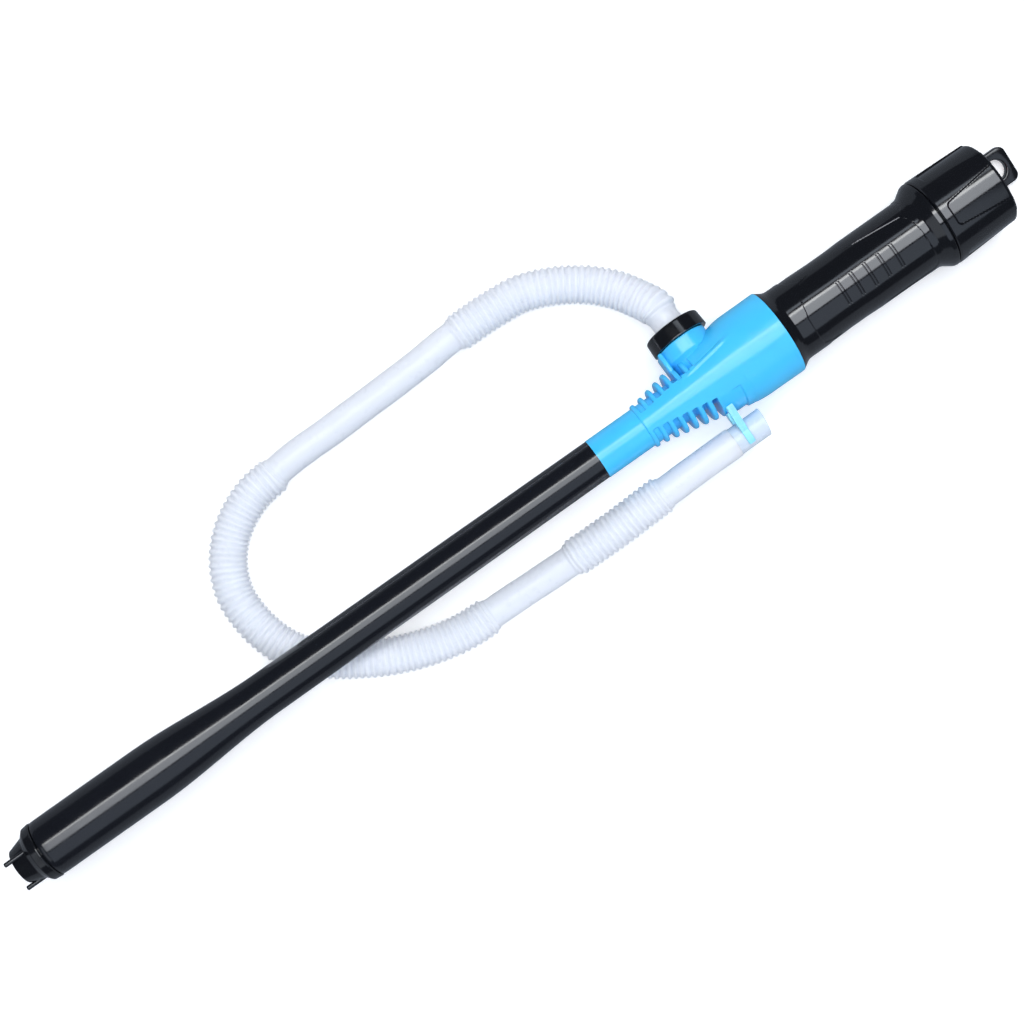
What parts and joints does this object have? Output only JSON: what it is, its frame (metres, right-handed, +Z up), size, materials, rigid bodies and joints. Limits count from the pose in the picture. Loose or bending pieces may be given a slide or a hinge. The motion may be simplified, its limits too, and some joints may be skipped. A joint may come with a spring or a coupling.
{
  "type": "battery fluid transfer pump",
  "caption": "Battery powered transfer pump: an impeller in the foot of a long suction pipe lifts fluid to a side outlet and hose, switched by a button in the end cap.",
  "frame": {"origin": "on the ground under the middle of the pump as it lies, midway between the ends of the pump and between the hose tail and the hose cuff", "axes": "+X runs along the pump from the intake to the end cap, +Y points to the outlet's side, +Z is up"},
  "size_m": [0.6786, 0.1625, 0.0554],
  "materials": {
    "black_gloss": "moulded plastic with a gloss finish",
    "black_satin": "moulded plastic, matt",
    "blue_plastic": "bright blue moulded plastic with a soft gloss",
    "clip_plastic": "thin light blue moulded plastic",
    "red_plastic": "red moulded plastic",
    "white_plastic": "white moulded plastic",
    "hose_plastic": "milky, half clear soft plastic",
    "black_rubber": "soft rubber",
    "steel": "bare steel",
    "copper": "laminated iron with copper windings",
    "magnet": "dark ferrite",
    "brass": "bare brass",
    "red_wire": "soft cable jacket",
    "black_wire": "soft cable jacket",
    "battery_jacket": "plain coloured jacket over the can of a dry cell"
  },
  "bodies": {
    "pump": {"suction_pipe": "black_gloss", "intake_cap": "black_gloss", "motor_housing": "black_satin", "housing_cap": "black_satin", "shaft_seal": "black_rubber", "motor_can": "steel", "motor_magnets": "magnet", "motor_end_bell": "white_plastic", "motor_terminals": "brass", "motor_bearings": "brass", "motor_leads": "red_wire", "motor_cable": "black_wire", "pump_head": "blue_plastic", "cable_gland": "black_rubber", "tube_seal": "black_rubber", "outlet_gasket": "black_rubber", "hose_tail": "white_plastic", "discharge_hose": "hose_plastic", "hose_cuff": "hose_plastic", "hose_clip": "clip_plastic", "battery_tube": "black_gloss", "contact_carrier": "white_plastic", "positive_contact": "brass", "contact_strip": "brass", "lead_red": "red_wire", "lead_black": "black_wire", "battery_front": "battery_jacket", "battery_rear": "battery_jacket"},
    "rotor": {"impeller": "red_plastic", "motor_shaft": "steel", "motor_armature": "copper"},
    "cap_thread": {"cap_seal": "black_rubber"},
    "cap": {"end_cap": "black_gloss", "cap_contact_ring": "brass", "negative_spring": "steel", "switch_bezel": "black_satin", "switch_body": "black_satin", "switch_spring": "steel"},
    "button": {"switch_button": "red_plastic"},
    "nut_thread": {"nut_washer": "black_satin"},
    "nut": {"outlet_nut": "black_gloss"}
  },
  "joints": [
    {"name": "impeller_spin", "type": "hinge", "parent": "pump", "child": "rotor", "pos_m": [-0.326, -0.002, 0.0382], "axis": [0.9998, 0, -0.0187], "continuous": true},
    {"name": "cap_travel", "type": "slide", "parent": "pump", "child": "cap_thread", "axis": [0.9998, 0, -0.0187], "range_m": [0, 0.008]},
    {"name": "cap_turn", "type": "hinge", "parent": "cap_thread", "child": "cap", "pos_m": [0.31639, -0.002, 0.02616], "axis": [0.9998, 0, -0.0187], "range_deg": [0, 720]},
    {"name": "button_press", "type": "slide", "parent": "cap", "child": "button", "axis": [-0.9998, 0, 0.0187], "range_m": [0, 0.0025], "stiffness_N_per_m": 800, "springref_m": -0.001, "deforming": ["switch_spring"]},
    {"name": "nut_travel", "type": "slide", "parent": "pump", "child": "nut_thread", "axis": [-0.0029, 0.9877, -0.1564], "range_m": [0, 0.0065]},
    {"name": "nut_turn", "type": "hinge", "parent": "nut_thread", "child": "nut", "pos_m": [0.12657, 0.0296, 0.02471], "axis": [-0.0029, 0.9877, -0.1564], "range_deg": [0, 780]}
  ],
  "couplings": [
    {"joint": "cap_travel", "follows": "cap_turn", "m_per_rad": 0.00063662},
    {"joint": "nut_travel", "follows": "nut_turn", "m_per_rad": 0.00047746}
  ]
}
